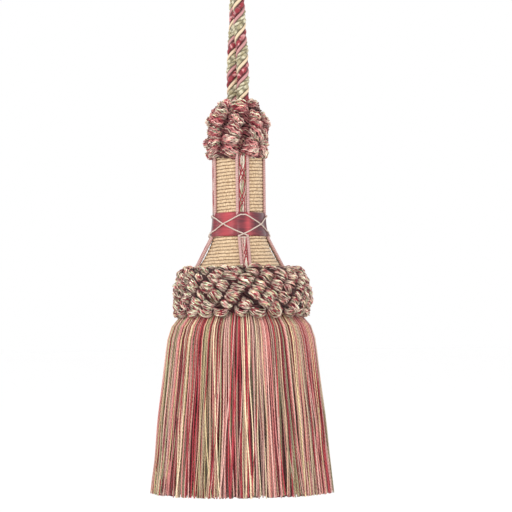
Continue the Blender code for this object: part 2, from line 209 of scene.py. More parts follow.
class Value:
    """A number that varies over a surface, for maths written as plain expressions."""

    def __init__(self, finish, socket):
        self.finish = finish
        self.socket = socket

    def maths(self, operation, *others):
        values = dict(enumerate((self, *others)))
        return self.finish.node("Math", {"operation": operation}, values)

    def __add__(self, other):
        return self.maths("ADD", other)

    __radd__ = __add__

    def __mul__(self, other):
        return self.maths("MULTIPLY", other)

    __rmul__ = __mul__

    def __sub__(self, other):
        return self.maths("SUBTRACT", other)

    def __rsub__(self, other):
        return (self * -1) + other

    def __truediv__(self, other):
        return self.maths("DIVIDE", other)

    def __abs__(self):
        return self.maths("ABSOLUTE")

    def __pow__(self, other):
        return self.maths("POWER", other)

    def wave(self):
        """From -1 to 1 and back with each whole number."""
        return (self * math.tau).maths("SINE")

    def whole(self):
        return self.maths("FLOOR")

    def part(self):
        return self.maths("FRACT")

    def above(self, limit):
        return self.maths("GREATER_THAN", limit)

    def clipped(self):
        return self.maths("MINIMUM", 1.0).maths("MAXIMUM", 0.0)


class Finish:
    """A material under construction."""

    def __init__(self, name, roughness=0.7, sheen=0.0):
        self.material = bpy.data.materials.new(name)
        self.material.use_nodes = True
        self.tree = self.material.node_tree
        self.shader = self.tree.nodes["Principled BSDF"]
        self.shader.inputs["Roughness"].default_value = roughness
        self.shader.inputs["Sheen Weight"].default_value = sheen
        self.shader.inputs["Sheen Roughness"].default_value = 0.4

    def feed(self, socket, value):
        if isinstance(value, Value):
            self.tree.links.new(value.socket, socket)
        else:
            socket.default_value = value

    def node(self, kind, settings=(), values=(), out=0):
        """Any node. settings are its own properties, or a ramp's stops, and values are for its sockets."""
        made = self.tree.nodes.new("ShaderNode" + kind)
        for key, setting in dict(settings).items():
            if key == "stops":
                self.set_stops(made.color_ramp, setting)
            else:
                setattr(made, key, setting)
        for key, value in dict(values).items():
            self.feed(made.inputs[key], value)
        return Value(self, made.outputs[out])

    def set_stops(self, ramp, stops):
        ramp.interpolation = "CONSTANT"
        while len(ramp.elements) < len(stops):
            ramp.elements.new(1.0)
        for element, (position, tone) in zip(ramp.elements, stops):
            element.position = position
            element.color = tone

    def laid(self):
        """Round the yarn from 0 to 1, and along it in millimetres."""
        both = self.node("UVMap", {"uv_map": "laid"})
        parts = self.node("SeparateXYZ", {}, {0: both})
        return parts, Value(self, parts.socket.node.outputs[1])

    def place(self):
        return self.node("TexCoord", out="Object")

    def kept(self, name):
        """A value that the mesh keeps for each point."""
        return self.node("Attribute", {"attribute_name": name}, out="Fac")

    def noise(self, scale, detail=2.0, where=None, stretch=None):
        where = where or self.place()
        if stretch:
            where = self.node("Mapping", {}, {"Vector": where, "Scale": stretch})
        return self.node("TexNoise", {}, {"Vector": where, "Scale": scale, "Detail": detail})

    def chance(self, value):
        """A steady random number for each whole value."""
        return self.node("TexWhiteNoise", {"noise_dimensions": "1D"}, {"W": value})

    def palette(self, value, tones):
        """Shares of 0 to 1 given to tones, as (share, tone) pairs."""
        stops = []
        start = 0.0
        for share, tone in tones:
            stops.append((start, tone))
            start += share
        return self.node("ValToRGB", {"stops": stops}, {0: value})

    def mix(self, factor, one, two, blend="MIX"):
        values = {"Factor": factor, "A": one, "B": two}
        made = self.tree.nodes.new("ShaderNodeMix")
        made.data_type = "RGBA"
        made.blend_type = blend
        sockets = {"Factor": made.inputs[0], "A": made.inputs[6], "B": made.inputs[7]}
        for key, value in values.items():
            self.feed(sockets[key], value)
        return Value(self, made.outputs[2])

    def shaded(self, tone, light):
        """A tone made lighter or darker by a varying number near 1."""
        grey = self.node("CombineColor", {}, {0: light, 1: light, 2: light})
        return self.mix(1.0, tone, grey, "MULTIPLY")

    def done(self, tone, height=None, depth=0.1 * MM, roughness=None):
        self.feed(self.shader.inputs["Base Color"], tone)
        if roughness is not None:
            self.feed(self.shader.inputs["Roughness"], roughness)
        if height is not None:
            bump = self.node("Bump", {}, {"Height": height, "Distance": depth, "Strength": 1.0})
            self.feed(self.shader.inputs["Normal"], bump)
        return self.material


BURGUNDY = colour(158, 46, 58)
DEEP_RED = colour(136, 36, 48)
ROSE = colour(206, 132, 126)
PALE_PINK = colour(226, 176, 164)
GOLD = colour(226, 202, 146)
CREAM = colour(236, 214, 178)
TAN = colour(204, 168, 140)
SAGE = colour(176, 164, 128)
OLIVE = colour(120, 108, 74)
SHADOW = colour(70, 30, 30)


def puff_finish(name, tones, dashes=0.5, hop=0.382):
    """Fine curled yarns in dashes of colour, lighter where they stand out and in warm shade where they dive."""
    finish = Finish(name, roughness=0.6, sheen=0.15)
    round_it, along = finish.laid()
    tint = finish.kept("tint")
    dash = (along * dashes + tint * 17).whole()
    tone = finish.palette((tint + dash * hop).part(), tones)
    # Painted shade along each yarn's twist, darker between its plies.
    twist = ((along * 1.1 + round_it) * 2).wave() * 0.5 + 0.5
    uneven = finish.noise(650.0, 2.0)
    # The kept "depth" is each yarn's painted light; the painted shade is tinted warm, redder as it darkens.
    light = (twist * 0.4 + uneven * 0.9 + 0.35) * finish.kept("depth")
    red, green, blue = light**0.86, light**1.06, light**1.04
    shade = finish.node("CombineColor", {}, {0: red, 1: green, 2: blue})
    return finish.done(finish.mix(1.0, tone, shade, "MULTIPLY"), twist, 0.15 * MM)


def core_finish(name):
    """Yarn deep between the puffs, seen only as shadow."""
    finish = Finish(name, roughness=0.9)
    fine = finish.noise(900.0, 2.0)
    # Painted shadow: dark reddish brown with a fine noise, for yarn seen only in shade.
    tone = finish.mix(fine, colour(38, 18, 22), colour(92, 40, 46))
    return finish.done(tone, fine, 0.3 * MM)


SKIRT_TONES = (
    # (share of the yarns, tone)
    (0.18, colour(176, 54, 64)),
    (0.04, DEEP_RED),
    (0.15, ROSE),
    (0.14, PALE_PINK),
    (0.08, colour(224, 203, 154)),
    (0.13, CREAM),
    (0.21, TAN),
    (0.07, SAGE),
)


def skirt_finish():
    """One colour to each yarn, with the fine slant of its twist, painted shade between its plies and painted shade on
    the deeper layers.
    """
    finish = Finish("skirt_yarns", roughness=0.6, sheen=0.2)
    round_it, along = finish.laid()
    tone = finish.palette(finish.kept("tint"), SKIRT_TONES)
    # The kept "depth" is painted light: painted shade on the deeper layers, times a random tone for each yarn. The
    # twist stripes paint shade between the plies.
    lit = finish.kept("depth")
    twist = (along * 0.62 + round_it * 2 + lit * 11).wave() * 0.5 + 0.5
    uneven = finish.noise(60.0, 2.0, stretch=(8.0, 8.0, 1.0))
    fibres = finish.noise(1100.0, 2.0)
    light = (twist * 0.45 + uneven * 0.6 + fibres * 0.6 + 0.16) * lit
    return finish.done(finish.shaded(tone, light), twist, 0.12 * MM)


def cord_finish():
    """The hanging cord: a thin cream, a thick red, a thin pink and a thick green strand laid side by side, with
    painted shade down in its grooves and painted highlights on the red and green strands.
    """
    finish = Finish("laid_cord", roughness=0.6, sheen=0.2)
    round_it, along = finish.laid()
    strands = ((0.17, colour(238, 212, 178)), (0.29, BURGUNDY), (0.17, colour(206, 148, 146)), (0.37, SAGE))
    tone = finish.palette(round_it, strands)
    fine = finish.noise(900.0, 2.0)
    # The kept "depth" is the strands' relief: below 0.93 it paints shade down in the grooves.
    high = finish.kept("depth")
    red = round_it.above(0.17) * (1 - round_it.above(0.46))
    green = round_it.above(0.63)
    # Painted highlights: pink glints on the red strand and pale specks on the green one.
    speck = finish.noise(520.0, 1.0)
    glint = finish.mix(red * ((speck - 0.52) * 9).clipped(), tone, colour(232, 168, 166))
    painted_highlights = finish.mix(green * ((speck - 0.46) * 7).clipped(), glint, colour(226, 218, 188))
    deep = finish.mix(((0.93 - high) * 9).clipped(), painted_highlights, finish.shaded(tone, 0.32))
    light = 0.84 + fine * 0.3
    return finish.done(finish.shaded(deep, light), fine, 0.1 * MM)


def gimp_finish():
    """Cord wound close with fine silk, with painted shade down between its turns."""
    finish = Finish("gold_gimp", roughness=0.5, sheen=0.1)
    rib = finish.kept("tint")
    grain = finish.noise(2100.0, 2.0, stretch=(1.0, 1.0, 0.35))
    broad = finish.noise(90.0, 2.0)
    light = finish.mix(((grain - 0.5) * 3.4 + broad * 0.3 + 0.4).clipped(), colour(198, 164, 124), colour(242, 214, 176))
    # Painted shade: the rib height, kept as "tint", darkens the gimp down between its turns.
    tone = finish.mix((rib * 1.8 - 0.75 + grain * 0.35).clipped(), colour(108, 70, 48), light)
    return finish.done(tone, grain, 0.1 * MM)


def wrapped_finish(name, tone, dark, wraps):
    """A fine cord wound with thread: close slanting lines round it, with painted shade down between the turns."""
    finish = Finish(name, roughness=0.5, sheen=0.15)
    round_it, along = finish.laid()
    wrap = (along * wraps + round_it).wave() * 0.5 + 0.5
    fine = finish.noise(700.0, 2.0)
    # Painted shade: the dark tone falls where the wrap is low, between the turns.
    mixed = finish.mix((wrap * 0.5 + fine * 0.5).clipped(), dark, tone)
    return finish.done(mixed, wrap, 0.08 * MM)


def strip_finish():
    """The strips' yarns: one colour to each yarn, with its plies and painted shade between them."""
    finish = Finish("strip_yarns", roughness=0.65, sheen=0.2)
    round_it, along = finish.laid()
    tone = finish.palette(finish.kept("tint"), (
        (0.2, colour(176, 54, 64)),
        (0.2, colour(176, 170, 136)),
        (0.2, colour(224, 206, 190)),
        (0.2, colour(212, 164, 156)),
        (0.2, colour(240, 226, 208)),
    ))
    ply = (round_it * 3 + along * 0.9).wave() * 0.5 + 0.5
    fine = finish.noise(800.0, 2.0)
    # Painted shade between the plies, with a fine tone that varies.
    light = 0.56 + ply * 0.5 + fine * 0.36
    return finish.done(finish.shaded(tone, light), ply, 0.15 * MM)


def satin_finish():
    """Ribbon satin: close floating threads that run round the band, with painted sheen in soft patches."""
    finish = Finish("red_satin", roughness=0.34, sheen=0.3)
    place = finish.place()
    thread = finish.noise(1600.0, 2.0, where=place, stretch=(0.12, 0.12, 1.0))
    # Painted sheen, kept as "depth", with the threads' fine texture: bright red where sheen is painted and dark red
    # where shade is painted.
    painted_sheen_and_threads = finish.kept("depth") + (thread - 0.5) * 0.9
    tone = finish.mix(painted_sheen_and_threads.clipped(), colour(88, 32, 44), colour(198, 72, 80))
    return finish.done(tone, thread, 0.03 * MM, roughness=0.28 + thread * 0.16)


# Hanging cord

CORD_DIAMETER = 5.4 * MM
CORD_LEAD = 13.3 * MM
CORD_START = 0.335 * math.tau
CORD_LEG = (
    # (offset mm, height mm, direction degrees), one leg as the solid has it
    (2.85, -81.6, 45),
    (2.85, -70.0, 45),
    (2.85, -62.5, 42),
    (2.85, -55.9, 45),
    (2.86, -49.3, 54),
    (3.05, -42.7, 68),
    (3.95, -36.0, 77),
    (5.80, -29.4, 84),
    (8.20, -22.0, 87),
    (10.1, -15.0, 88),
    (10.8, -8.1, 88),
    (9.35, -2.7, 88),
    (5.40, 1.25, 88),
    (0.00, 2.70, 88),
)
STRAND_SHARES = (0.17, 0.29, 0.17, 0.37)  # thin cream, thick red, thin pink, thick green


def cord_route():
    leg = []
    for offset, height, direction in CORD_LEG:
        angle = math.radians(direction)
        leg.append((offset * math.cos(angle) * MM, -offset * math.sin(angle) * MM, height * MM))
    return leg + [(-x, -y, z) for x, y, z in reversed(leg[:-1])]


def strand_section(angle, length):
    """Four strands side by side: the thin ones smooth, the red one knobbly and the green one a pair of plies."""
    share = (angle / math.tau) % 1.0
    along = length / MM
    reach = np.zeros(np.broadcast_shapes(angle.shape, length.shape))
    start = 0.0
    for number, width in enumerate(STRAND_SHARES):
        inside = (share >= start) & (share < start + width)
        across = np.clip((share - start) / width * 2 - 1, -1, 1)
        dome = np.sqrt(1 - across**2)
        if number == 1:
            knobs = np.cos(math.tau * (along / 2.3 + 0.4 * across))
            here = 0.93 - 0.3 * (1 - dome) + 0.06 * knobs * dome
        elif number == 3:
            half = np.sqrt(np.clip(1 - (2 * np.abs(across) - 1) ** 2, 0, 1))
            lumps = np.cos(math.tau * (along / 2.5 + 0.25 * np.sign(across) + 0.45 * np.abs(across)))
            here = 0.74 + 0.16 * half + 0.12 * lumps * half + 0.06 * dome
        else:
            here = 0.96 - 0.3 * (1 - dome)
        reach = np.where(inside, here, reach)
        start += width
    return reach


def hanging_cord():
    route, length = spread_evenly(cord_route(), 430)
    path, _ = spread_evenly(cord_route(), 90)
    turn = math.tau / CORD_LEAD
    mesh = yarn_mesh(
        "hanging_cord_laid", route[None], CORD_DIAMETER / 2, 72, turn=turn, first=CORD_START, section=strand_section
    )
    cord = piece("hanging_cord_laid", mesh, cord_finish(), "twisted_cord", "hanging_cord")


# Ruffs


def puffs(chance, outline, columns, rows, lay_of, size, yarns, steps, folds, between=0.0, shade=1.0):
    """Puffs of curled yarn set in leaning columns round a ruff: one line for each yarn, its colour and its painted
    light.

    outline runs over the cores of the puffs as (radius, height). lay_of is the columns' lean, the angle of the
    yarns over the puffs and how far a column strays. size is a puff's half length along its yarns, half width and
    depth.
    folds is how far the yarns wrinkle together, how many wrinkles they have over half a puff, in radians,
    how far the last row sags, how far the puffs turn from their lean and how much of it the last row keeps.
    between sets the columns between those of the layer above. shade is a brightness painted into all the yarns: above
    1 it paints them lighter, below 1 it paints a lower layer in shade.
    """
    slant, cross, stray = lay_of
    profile, length = spread_evenly([(r * MM, z * MM) for r, z in outline], 64)
    slope = unit(np.gradient(profile, axis=0))
    down = np.linspace(0, length, 64)
    lean = np.cumsum(np.gradient(down) / profile[:, 0]) * math.tan(slant)
    lean -= lean.mean()
    half_long, half_wide, depth = size
    reach, wrinkles, sag, uneven, hem_tilt = folds
    sweep = np.linspace(-1.42, 1.42, steps)
    lines, tints, depths = [], [], []
    for i in range(columns):
        shift = chance.uniform(-1, 1) * stray
        start = chance.uniform(-0.3, 0.3)
        for j in range(rows):
            last = j == rows - 1
            along = j + 0.4 + (start + 0.25 * chance.uniform(-1, 1)) * (0 < j < rows - 1)
            share = 0.96 * min(along / (rows - 0.6), 1.0)
            at = share * length
            radius, height, slope_r, slope_z, turn = (
                np.interp(at, down, line) for line in (*profile.T, *slope.T, lean)
            )
            angle = math.tau * (i + between) / columns - turn
            angle += OPENER * math.sin(angle) + (shift + chance.uniform(-0.6, 0.6) * stray) / radius
            centre = around(radius, angle, height)
            right = around(0.0, angle, 0.0, 1.0)
            outward = around(1.0, angle, 0.0)
            up = np.array((0.0, 0.0, 1.0))
            downward = outward * slope_r + up * slope_z
            normal = np.cross(downward, right)
            tilt = cross * (hem_tilt if last else 1.0) + chance.uniform(-1, 1) * uneven
            run = right * math.cos(tilt) + downward * math.sin(tilt)
            side = downward * math.cos(tilt) - right * math.sin(tilt)
            grown = chance.uniform(0.88, 1.16) * (1.1 if last else 1.0)
            lift = depth * grown * chance.uniform(0.75, 1.15)
            fanned, first, many = chance.uniform(-0.35, 0.35), chance.uniform(0, math.tau), chance.uniform(0.7, 1.3)
            puff_light, red, own = chance.uniform(0.9, 1.12), chance.uniform(0.35, 1.0), chance.uniform(0.5, 2.4)
            for k in range(yarns):
                lay = (k + 0.5) / yarns * 2 - 1 + 0.8 * chance.uniform(-1, 1) / yarns
                roll = lay * 1.2 + fanned * sweep
                phase = first + 0.4 * k + chance.uniform(-0.9, 0.9)
                fold = np.sin(wrinkles * many * sweep + phase) * (0.4 + 0.6 * np.cos(sweep))
                turn_in = np.cos(wrinkles * many * sweep + phase + 0.6)
                stray_in = np.sin(wrinkles * 1.7 * sweep + chance.uniform(0, math.tau))
                out = lift * np.cos(roll) * np.cos(sweep) ** 0.7 * chance.uniform(0.76, 1.14)
                out = out + reach * (0.6 * fold + 0.4 * stray_in * np.cos(sweep))
                aside = half_wide * grown * np.sin(roll) * 1.1 * (0.65 + 0.35 * np.cos(sweep))
                aside = aside + reach * (0.7 * turn_in + 0.4 * stray_in)
                aside = aside + (sag * (np.cos(sweep) - 0.5) if last else 0.0)
                far = half_long * grown * np.sin(sweep) * chance.uniform(0.86, 1.08)
                lines.append(centre + far[:, None] * run + aside[:, None] * side + out[:, None] * normal)
                dark = k % 2 and chance.random() < red
                tints.append(chance.uniform(0, RED_SHARE) if dark else chance.uniform(RED_SHARE, 1) ** own)
                # Painted light for each yarn: painted shade on the lower side of a puff and a little on its upper
                # edge, each yarn lighter or darker, alternate ones lighter, painted shade towards its ends where it
                # dives, and lighter where it wrinkles out.
                under = puff_light * (1 - 0.62 * np.clip(np.sin(roll), 0, 1) ** 1.5 - 0.25 * np.clip(-np.sin(roll), 0, 1) ** 3)
                lit = chance.uniform(0.55, 1.15) if k % 2 else chance.uniform(0.95, 1.55)
                lit = lit * (0.14 + 1.0 * np.cos(sweep) ** 0.9) * (1 + 0.35 * fold)
                depths.append(shade * under * lit)
    return np.array(lines), np.array(tints), np.array(depths)


def spun_core(name, outline, steps, aside_all=0.0):
    """A closed ring whose section is a plain outline, as (radius, height) in millimetres."""
    mesh = bpy.data.meshes.new(name)
    count = len(outline)
    turns = np.arange(steps) * math.tau / steps
    ring = np.array(outline) * MM
    points = around(ring[None, :, 0], turns[:, None], ring[None, :, 1]).reshape(-1, 3) + (aside_all, 0, 0)
    index = np.arange(steps * count).reshape(steps, count)
    below, beside = np.roll(index, -1, axis=1), np.roll(index, -1, axis=0)
    quads = np.stack([index, beside, np.roll(beside, -1, axis=1), below], axis=-1).reshape(-1, 4)
    mesh.from_pydata(points.tolist(), [], quads.tolist())
    mesh.shade_smooth()
    return mesh


COLLAR_CORES = (
    # (radius mm, height mm), where the puffs sit
    (20.6, -143.6),
    (21.6, -142.2),
    (23.1, -141.9),
    (24.5, -143.2),
    (25.7, -145.8),
    (26.4, -149.0),
    (26.7, -152.4),
    (26.6, -155.8),
    (26.1, -159.2),
)
COLLAR_CORE = (
    (18.9, -147.0),
    (20.0, -144.2),
    (22.4, -143.0),
    (24.6, -145.0),
    (25.7, -148.6),
    (26.0, -153.0),
    (25.4, -157.2),
    (23.6, -159.4),
    (20.5, -158.4),
    (18.9, -156.0),
)
COLLAR_ASIDE = 0.9 * MM
TOP_CORES = (
    # (radius mm, height mm)
    (4.9, -73.0),
    (6.5, -73.9),
    (8.5, -76.2),
    (9.8, -79.2),
    (10.4, -83.2),
    (10.5, -87.2),
    (10.2, -90.8),
    (9.6, -93.2),
)
TOP_ASIDE = -0.5 * MM
TOP_CORE = (
    (0.2, -75.4),
    (6.4, -74.6),
    (8.2, -77.2),
    (9.4, -81.6),
    (9.7, -87.6),
    (9.7, -92.0),
    (9.3, -93.8),
    (0.2, -93.8),
)
RUFF_RED = colour(146, 46, 56)
RUFF_ROSE = colour(198, 118, 116)
RUFF_PINK = colour(214, 172, 160)
RUFF_CREAM = colour(226, 205, 182)
RUFF_SAGE = colour(170, 160, 130)
COLLAR_TONES = (
    (0.20, RUFF_RED),
    (0.10, RUFF_ROSE),
    (0.19, RUFF_PINK),
    (0.12, RUFF_SAGE),
    (0.10, TAN),
    (0.27, RUFF_CREAM),
    (0.02, OLIVE),
)
TOP_TONES = (
    (0.22, RUFF_RED),
    (0.25, RUFF_ROSE),
    (0.25, RUFF_PINK),
    (0.14, RUFF_CREAM),
    (0.08, RUFF_SAGE),
    (0.06, TAN),
)
UNDER_TONES = (
    (0.55, RUFF_RED),
    (0.30, RUFF_ROSE),
    (0.15, TAN),
)
RED_SHARE = 0.3  # up to here a ruff's palette is red or rose
OPENER = 0.23  # how much further apart the columns stand at the front than on average
COLLAR_SEED = 3
COLLAR_LAY = (math.radians(33), math.radians(30), 0.6 * MM)
COLLAR_SIZE = (2.8 * MM, 1.4 * MM, 2.2 * MM)
COLLAR_FOLDS = (0.19 * MM, 3.8, 1.5 * MM, math.radians(15), 0.15)
TOP_SEED = 3
TOP_LAY = (math.radians(12), math.radians(32), 0.8 * MM)
TOP_SIZE = (3.4 * MM, 2.1 * MM, 2.8 * MM)
TOP_FOLDS = (0.38 * MM, 6.5, 0.0, math.radians(20), 0.8)


def ruffs():
    """Each ruff has its puffs, a lower layer of them between the columns in painted shade, and a core that closes it,
    painted dark as shadow.
    """
    core = core_finish("ruff_shadow")
    under = puff_finish("ruff_under_yarns", UNDER_TONES)
    yarn = puff_finish("collar_yarns", COLLAR_TONES)
    chance, lay, folds = np.random.default_rng(COLLAR_SEED), COLLAR_LAY, COLLAR_FOLDS
    # The last number of each call is a brightness painted into its yarns: 1.52 paints the puffs lighter, 0.14 paints
    # the lower layer in shade.
    lines, tints, depths = puffs(chance, COLLAR_CORES, 28, 10, lay, COLLAR_SIZE, 9, 9, folds, 0.0, 1.52)
    mesh = yarn_mesh("collar_loops", lines + (COLLAR_ASIDE, 0, 0), 0.205 * MM, 4, tints=tints, depths=depths)
    piece("collar_loops", mesh, yarn, "ruff_yarn", "collar_ruff")
    size = (COLLAR_SIZE[0] * 1.1, COLLAR_SIZE[1] * 1.1, COLLAR_SIZE[2] * 0.35)
    lines, tints, depths = puffs(chance, COLLAR_CORES[:-1], 28, 10, lay, size, 5, 7, folds, 0.5, 0.14)
    mesh = yarn_mesh("collar_under", lines + (COLLAR_ASIDE, 0, 0), 0.3 * MM, 4, tints=tints, depths=depths)
    piece("collar_under", mesh, under, "ruff_yarn", "collar_ruff")
    mesh = spun_core("collar_core", COLLAR_CORE, 72, COLLAR_ASIDE)
    piece("collar_core", mesh, core, "ruff_yarn", "collar_ruff")

    yarn = puff_finish("top_ruff_yarns", TOP_TONES, 0.4, 0.09)
    chance, lay, folds = np.random.default_rng(TOP_SEED), TOP_LAY, TOP_FOLDS
    # 1.53 paints the top ruff's puffs lighter, 0.45 paints its lower layer in shade.
    lines, tints, depths = puffs(chance, TOP_CORES, 10, 6, lay, TOP_SIZE, 16, 15, folds, 0.0, 1.53)
    mesh = yarn_mesh("top_ruff_loops", lines + (TOP_ASIDE, 0, 0), 0.235 * MM, 4, tints=tints, depths=depths)
    piece("top_ruff_loops", mesh, yarn, "ruff_yarn", "top_ruff")
    size = (TOP_SIZE[0], TOP_SIZE[1], TOP_SIZE[2] * 0.55)
    lines, tints, depths = puffs(chance, TOP_CORES, 10, 6, lay, size, 8, 11, folds, 0.5, 0.45)
    mesh = yarn_mesh("top_ruff_under", lines + (TOP_ASIDE, 0, 0), 0.3 * MM, 4, tints=tints, depths=depths)
    piece("top_ruff_under", mesh, under, "ruff_yarn", "top_ruff")
    piece("top_ruff_core", spun_core("top_ruff_core", TOP_CORE, 48), core, "ruff_yarn", "top_ruff")


# Wrapped head

TUBE_RADIUS = 9.9 * MM
WRAP_PITCH = 1.4 * MM
WRAP_DEPTH = 0.5 * MM
FLARE_START = -119.0 * MM
FOOT_RADIUS = 22.3 * MM
FOOT_TOP = -146.0 * MM
FOOT_BOTTOM = -148.2 * MM
FLARE_POWER = 2.1


def flare_radius(height):
    t = np.maximum(0.0, (FLARE_START - np.asarray(height)) / (FLARE_START - FOOT_TOP))
    return TUBE_RADIUS + (FOOT_RADIUS - TUBE_RADIUS) * t**FLARE_POWER


def wrapped_head():
    """The head's outline is drawn once and spun, then ribbed by the turns of gimp, which climb as they go round."""
    heights = np.linspace(HEAD_TOP, FOOT_TOP, 330)
    outline = [(0.0, -83.0 * MM), (5.6 * MM, -83.0 * MM), (5.6 * MM, HEAD_TOP + 0.4 * MM)]
    outline += [(float(flare_radius(z)), float(z)) for z in heights]
    outline += [(FOOT_RADIUS, FOOT_BOTTOM), (18.4 * MM, FOOT_BOTTOM), (18.4 * MM, -157.4 * MM), (0.0, -157.4 * MM)]
    mesh = bpy.data.meshes.new("head_gimp")
    mesh.from_pydata([(r, 0, z) for r, z in outline], [(i, i + 1) for i in range(len(outline) - 1)], [])
    bpy.ops.object.select_all(action="DESELECT")
    head = piece("head_gimp", mesh, gimp_finish(), "gold_gimp", "wrapped_head")
    bpy.context.view_layer.objects.active = head
    head.select_set(True)
    bpy.ops.object.mode_set(mode="EDIT")
    bpy.ops.mesh.select_all(action="SELECT")
    bpy.ops.mesh.spin(steps=96, angle=math.tau, center=(0, 0, 0), axis=(0, 0, 1))
    bpy.ops.mesh.select_all(action="SELECT")
    bpy.ops.mesh.remove_doubles(threshold=0.002 * MM)
    bpy.ops.mesh.normals_make_consistent(inside=False)
    bpy.ops.object.mode_set(mode="OBJECT")
    ribs = np.full(len(mesh.vertices), 0.5)
    for vertex in mesh.vertices:
        x, y, z = vertex.co
        radius = math.hypot(x, y)
        if not FOOT_TOP < z < HEAD_TOP or radius < 9 * MM:
            continue
        turn = math.atan2(x, -y) / math.tau
        uneven = 0.04 * math.sin(11 * turn * math.tau + 900 * z) + 0.035 * math.sin(31 * turn * math.tau - 1500 * z)
        across = 2 * ((z / WRAP_PITCH - 2 * turn + uneven) % 1.0) - 1
        rib = math.sqrt(max(0.0, 1 - across * across))
        ribs[vertex.index] = rib
        scale = (radius - WRAP_DEPTH * (1 - rib)) / radius
        vertex.co.x *= scale
        vertex.co.y *= scale
    # The rib height is kept as "tint"; the gimp's finish paints shade from it between the turns.
    keep_values(mesh, "tint", ribs)
    mesh.shade_smooth()


# Strips

UPPER_SPREAD = 2.2 * MM
LOWER_SPREAD = 1.75 * MM
EDGE_CORD = 1.25 * MM


PLIES = 5
PLY_TINTS = (0.5, 0.95, 0.3, 0.5, 0.7)  # the plies' colours, as places in the strip's palette


def strips():
    """Two wound edge cords, a loose pale and green twist between them, and two red yarns crossing over it."""
    edges = {"upper": [], "lower": []}
    greens = {"upper": [], "lower": []}
    reds = {"upper": [], "lower": []}
    upper = np.linspace(HEAD_TOP + 2.5 * MM, BAND_TOP - 1.5 * MM, 90)
    lower = np.linspace(BAND_BOTTOM + 1.5 * MM, -141.2 * MM, 56)
    for k in range(STRIP_COUNT):
        angle = STRIP_TURN + k * math.tau / STRIP_COUNT
        for level, z in (("upper", upper), ("lower", lower)):
            if level == "upper":
                base, spread = np.full_like(z, TUBE_RADIUS), UPPER_SPREAD
            else:
                t = (BAND_BOTTOM - z) / (BAND_BOTTOM + 139.4 * MM)
                base, spread = 11.1 * MM + t * 6.2 * MM, LOWER_SPREAD
            phase = (z / (10.7 * MM) + 0.31 * k + (0.51 if level == "upper" else 0.55)) * math.pi
            drift = 0.4 * MM * np.cos(phase / 2)
            for n in range(PLIES):
                turn = phase * 0.5 + n * math.tau / PLIES + 0.3 * np.sin(z / (2.3 * MM) + n + k)
                aside = (spread - EDGE_CORD / 2 - 0.5 * MM) * np.sin(turn)
                greens[level].append(around(base + 0.15 * MM + 0.25 * MM * np.cos(turn), angle, z, aside))
            for side in (-1, 1):
                edges[level].append(around(base + 0.35 * MM, angle, z, side * spread))
                for late in (-0.12, 0.12):
                    beat = phase + late * math.pi * side
                    swing = np.tanh(1.6 * np.sin(beat)) * side * (spread - EDGE_CORD / 2 - 0.3 * MM) + drift * 0.6
                    lift = (0.35 + 0.15 * side) * MM * np.cos(beat) ** 4
                    reds[level].append(around(base + 0.4 * MM + lift, angle, z, swing))
    # The second colour is the painted shade between the turns.
    pink = wrapped_finish("pink_gimp", colour(230, 190, 182), colour(172, 122, 120), 1.3)
    twist = strip_finish()
    for level in ("upper", "lower"):
        names = [f"edge_cord_{n}{m}_{level}" for n in range(1, 5) for m in "ab"]
        mesh = yarn_mesh(f"edge_cords_{level}", edges[level], EDGE_CORD / 2, 10)
        piece(f"edge_cords_{level}", mesh, pink, "pink_gimp", *names)
        names = [f"twist_yarn_{n}_{level}" for n in range(1, 5)]
        lines = greens[level] + reds[level]
        radii = np.array([0.42 * MM] * len(greens[level]) + [0.24 * MM] * len(reds[level]))[:, None]
        tints = list(PLY_TINTS) * (len(greens[level]) // PLIES) + [0.1] * len(reds[level])
        mesh = yarn_mesh(f"strip_yarns_{level}", lines, radii, 10, turn=900.0, section=grooved(3, 0.2), tints=tints)
        piece(f"strip_yarns_{level}", mesh, twist, "twist_yarn", *names)


# Waist band and lacing

BAND_LIFT = 0.55 * MM
RIDGE = 0.75 * MM
BAND_TURNS = 200
LACE = 0.55 * MM


def from_strip(angle):
    """The angle from the nearest strip, positive to the right."""
    return (np.asarray(angle) - STRIP_TURN + math.pi / 4) % (math.pi / 2) - math.pi / 4


def band_radius(angle, height):
    """The satin's outside: close on the gimp, and stretched over each strip."""
    near = np.clip((np.abs(from_strip(angle)) - math.radians(10)) / math.radians(12), 0, 1)
    ridge = RIDGE * (1 - near * near * (3 - 2 * near))
    return flare_radius(height) + BAND_LIFT + ridge


PAINTED_SHEEN_PATCHES = (
    # (degrees from the front, spread in degrees, strength), where sheen is painted into the satin's colour
    (-28, 23, 0.82),
    (-62, 14, 0.25),
    (20, 8, 0.72),
    (33, 9, 0.14),
    (112, 10, 0.55),
    (146, 22, 0.85),
    (203, 9, 0.65),
    (238, 22, 0.8),
)


